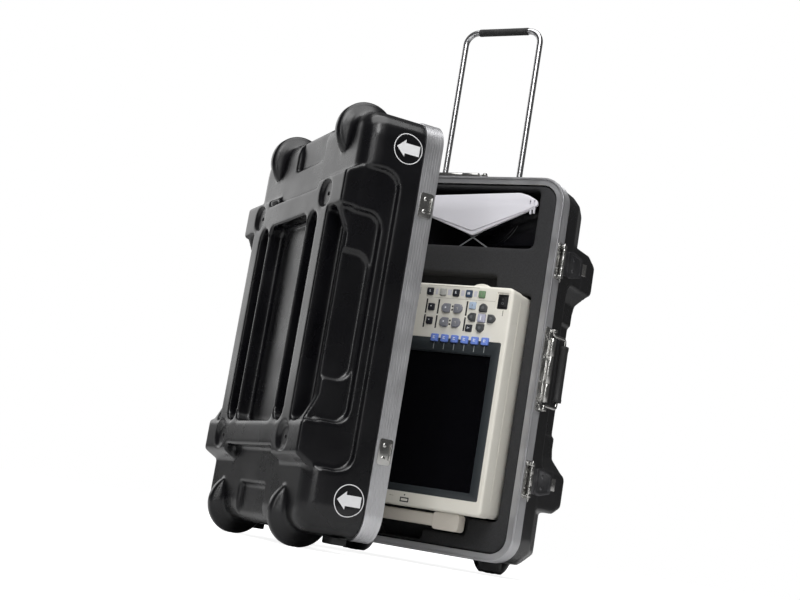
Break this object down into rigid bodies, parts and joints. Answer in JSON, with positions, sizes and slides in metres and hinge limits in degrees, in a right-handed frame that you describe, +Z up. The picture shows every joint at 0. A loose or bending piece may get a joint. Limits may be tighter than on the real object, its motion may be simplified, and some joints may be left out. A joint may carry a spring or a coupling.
{
  "type": "portable ultrasound scanner in a wheeled transit case",
  "caption": "Portable veterinary ultrasound scanner with screen and keypad, packed in foam in a wheeled hard case with hinged lid, draw latches, carry handles and telescopic pull handle.",
  "frame": {"origin": "centre of the footprint, on the floor that the bumpers stand on", "axes": "+Z up along the pull handle, +X towards the latch side, +Y towards the back of the case with the wheels"},
  "size_m": [0.534, 0.5406, 0.9415],
  "materials": {
    "black_shell": "black rotationally moulded polyethylene, satin with a soft highlight",
    "aluminium": "satin anodised aluminium extrusion and tube",
    "grey_foam": "dark grey closed-cell foam with a fine open grain",
    "black_plastic": "black moulded plastic",
    "steel": "zinc-plated steel",
    "chrome": "nickel-chrome plated hardware",
    "rubber": "black moulded rubber",
    "beige_plastic": "warm beige instrument plastic with fine spark texture",
    "slate_plastic": "slate blue-grey moulded surround",
    "screen_glass": "black anti-glare screen, switched off",
    "board": "green circuit board",
    "dark_key": "silicone key mat with dark keys",
    "blue_key": "blue moulded key caps",
    "pale_blue_key": "pale blue-grey key cap",
    "grey_key": "grey key caps",
    "hood_plastic": "light lavender-grey moulded plastic"
  },
  "bodies": {
    "base": {"base_shell": "black_shell", "base_valance": "aluminium", "base_foam_front": "grey_foam", "base_foam_back": "grey_foam", "handle_guide": "black_plastic", "wheel_axle": "steel", "base_foot_left": "rubber", "base_foot_right": "rubber", "side_handle_plate": "chrome", "top_handle_plate": "chrome", "latch_plate_upper": "chrome", "latch_plate_lower": "chrome", "hinge_leaf_base": "steel", "hinge_pin": "steel"},
    "lid": {"lid_shell": "black_shell", "lid_valance": "aluminium", "lid_foam": "grey_foam", "strike_upper": "chrome", "strike_lower": "chrome", "hinge_leaf_lid": "steel", "lid_foot_left": "rubber", "lid_foot_right": "rubber"},
    "pull_handle": {"pull_tube": "aluminium", "pull_grip": "rubber"},
    "wheel_left": {"wheel_left": "rubber"},
    "wheel_right": {"wheel_right": "rubber"},
    "side_handle": {"side_handle_bail": "chrome", "side_handle_grip": "rubber"},
    "top_handle": {"top_handle_bail": "chrome", "top_handle_grip": "rubber"},
    "latch_lever_upper": {"latch_lever_upper": "steel"},
    "latch_lever_lower": {"latch_lever_lower": "steel"},
    "scanner": {"scanner_front_shell": "beige_plastic", "scanner_rear_shell": "beige_plastic", "screen_surround": "slate_plastic", "lcd_panel": "screen_glass", "main_board": "board", "switch_bezel": "black_plastic", "small_key_mat": "dark_key", "strap_cap_left": "beige_plastic", "strap_cap_right": "beige_plastic", "strap_handle": "beige_plastic"},
    "power_rocker": {"power_rocker": "black_plastic"},
    "hood": {"hood_cover": "hood_plastic", "hood_flap": "black_plastic"},
    "soft_key_1": {"soft_key_1": "blue_key"},
    "soft_key_2": {"soft_key_2": "blue_key"},
    "soft_key_3": {"soft_key_3": "blue_key"},
    "soft_key_4": {"soft_key_4": "blue_key"},
    "soft_key_5": {"soft_key_5": "blue_key"},
    "soft_key_6": {"soft_key_6": "blue_key"},
    "range_key_1": {"range_key_1": "grey_key"},
    "range_key_2": {"range_key_2": "grey_key"},
    "range_key_3": {"range_key_3": "grey_key"},
    "range_key_4": {"range_key_4": "grey_key"},
    "cursor_up": {"cursor_up": "grey_key"},
    "cursor_left": {"cursor_left": "grey_key"},
    "cursor_right": {"cursor_right": "grey_key"},
    "cursor_select": {"cursor_select": "pale_blue_key"},
    "cursor_down": {"cursor_down": "grey_key"}
  },
  "joints": [
    {"name": "lid_hinge", "type": "hinge", "parent": "base", "child": "lid", "pos_m": [-0.19691, 0.09431, 0.325], "axis": [0, 0, -1], "range_deg": [-36, 69]},
    {"name": "pull_handle_slide", "type": "slide", "parent": "base", "child": "pull_handle", "axis": [0, 0, -1], "range_m": [0, 0.268]},
    {"name": "wheel_left_spin", "type": "hinge", "parent": "base", "child": "wheel_left", "pos_m": [-0.10381, 0.22231, 0.046], "axis": [1, 0, 0], "continuous": true},
    {"name": "wheel_right_spin", "type": "hinge", "parent": "base", "child": "wheel_right", "pos_m": [0.15319, 0.22231, 0.046], "axis": [1, 0, 0], "continuous": true},
    {"name": "side_handle_hinge", "type": "hinge", "parent": "base", "child": "side_handle", "pos_m": [0.24879, 0.11731, 0.325], "axis": [0, 0, -1], "range_deg": [0, 95]},
    {"name": "top_handle_hinge", "type": "hinge", "parent": "base", "child": "top_handle", "pos_m": [0.02469, 0.11731, 0.6366], "axis": [1, 0, 0], "range_deg": [0, 95]},
    {"name": "latch_upper_hinge", "type": "hinge", "parent": "base", "child": "latch_lever_upper", "pos_m": [0.24749, 0.11231, 0.497], "axis": [0, 0, -1], "range_deg": [-15, 95]},
    {"name": "latch_lower_hinge", "type": "hinge", "parent": "base", "child": "latch_lever_lower", "pos_m": [0.24749, 0.11231, 0.153], "axis": [0, 0, -1], "range_deg": [-15, 95]},
    {"name": "scanner_lift_out", "type": "slide", "parent": "base", "child": "scanner", "axis": [0, -1, 0], "range_m": [0, 0.07]},
    {"name": "hood_lift_out", "type": "slide", "parent": "base", "child": "hood", "axis": [0, -1, 0], "range_m": [0, 0.06]},
    {"name": "power_rocker_tilt", "type": "hinge", "parent": "scanner", "child": "power_rocker", "pos_m": [0.19009, 0.04431, 0.413], "axis": [-1, 0, 0], "range_deg": [0, 13]},
    {"name": "soft_key_1_press", "type": "slide", "parent": "scanner", "child": "soft_key_1", "axis": [0, 1, 0], "range_m": [0, 0.0015], "stiffness_N_per_m": 300},
    {"name": "soft_key_2_press", "type": "slide", "parent": "scanner", "child": "soft_key_2", "axis": [0, 1, 0], "range_m": [0, 0.0015], "stiffness_N_per_m": 300},
    {"name": "soft_key_3_press", "type": "slide", "parent": "scanner", "child": "soft_key_3", "axis": [0, 1, 0], "range_m": [0, 0.0015], "stiffness_N_per_m": 300},
    {"name": "soft_key_4_press", "type": "slide", "parent": "scanner", "child": "soft_key_4", "axis": [0, 1, 0], "range_m": [0, 0.0015], "stiffness_N_per_m": 300},
    {"name": "soft_key_5_press", "type": "slide", "parent": "scanner", "child": "soft_key_5", "axis": [0, 1, 0], "range_m": [0, 0.0015], "stiffness_N_per_m": 300},
    {"name": "soft_key_6_press", "type": "slide", "parent": "scanner", "child": "soft_key_6", "axis": [0, 1, 0], "range_m": [0, 0.0015], "stiffness_N_per_m": 300},
    {"name": "range_key_1_press", "type": "slide", "parent": "scanner", "child": "range_key_1", "axis": [0, 1, 0], "range_m": [0, 0.0015], "stiffness_N_per_m": 300},
    {"name": "range_key_2_press", "type": "slide", "parent": "scanner", "child": "range_key_2", "axis": [0, 1, 0], "range_m": [0, 0.0015], "stiffness_N_per_m": 300},
    {"name": "range_key_3_press", "type": "slide", "parent": "scanner", "child": "range_key_3", "axis": [0, 1, 0], "range_m": [0, 0.0015], "stiffness_N_per_m": 300},
    {"name": "range_key_4_press", "type": "slide", "parent": "scanner", "child": "range_key_4", "axis": [0, 1, 0], "range_m": [0, 0.0015], "stiffness_N_per_m": 300},
    {"name": "cursor_up_press", "type": "slide", "parent": "scanner", "child": "cursor_up", "axis": [0, 1, 0], "range_m": [0, 0.0015], "stiffness_N_per_m": 300},
    {"name": "cursor_left_press", "type": "slide", "parent": "scanner", "child": "cursor_left", "axis": [0, 1, 0], "range_m": [0, 0.0015], "stiffness_N_per_m": 300},
    {"name": "cursor_right_press", "type": "slide", "parent": "scanner", "child": "cursor_right", "axis": [0, 1, 0], "range_m": [0, 0.0015], "stiffness_N_per_m": 300},
    {"name": "cursor_select_press", "type": "slide", "parent": "scanner", "child": "cursor_select", "axis": [0, 1, 0], "range_m": [0, 0.0015], "stiffness_N_per_m": 300},
    {"name": "cursor_down_press", "type": "slide", "parent": "scanner", "child": "cursor_down", "axis": [0, 1, 0], "range_m": [0, 0.0015], "stiffness_N_per_m": 300}
  ]
}
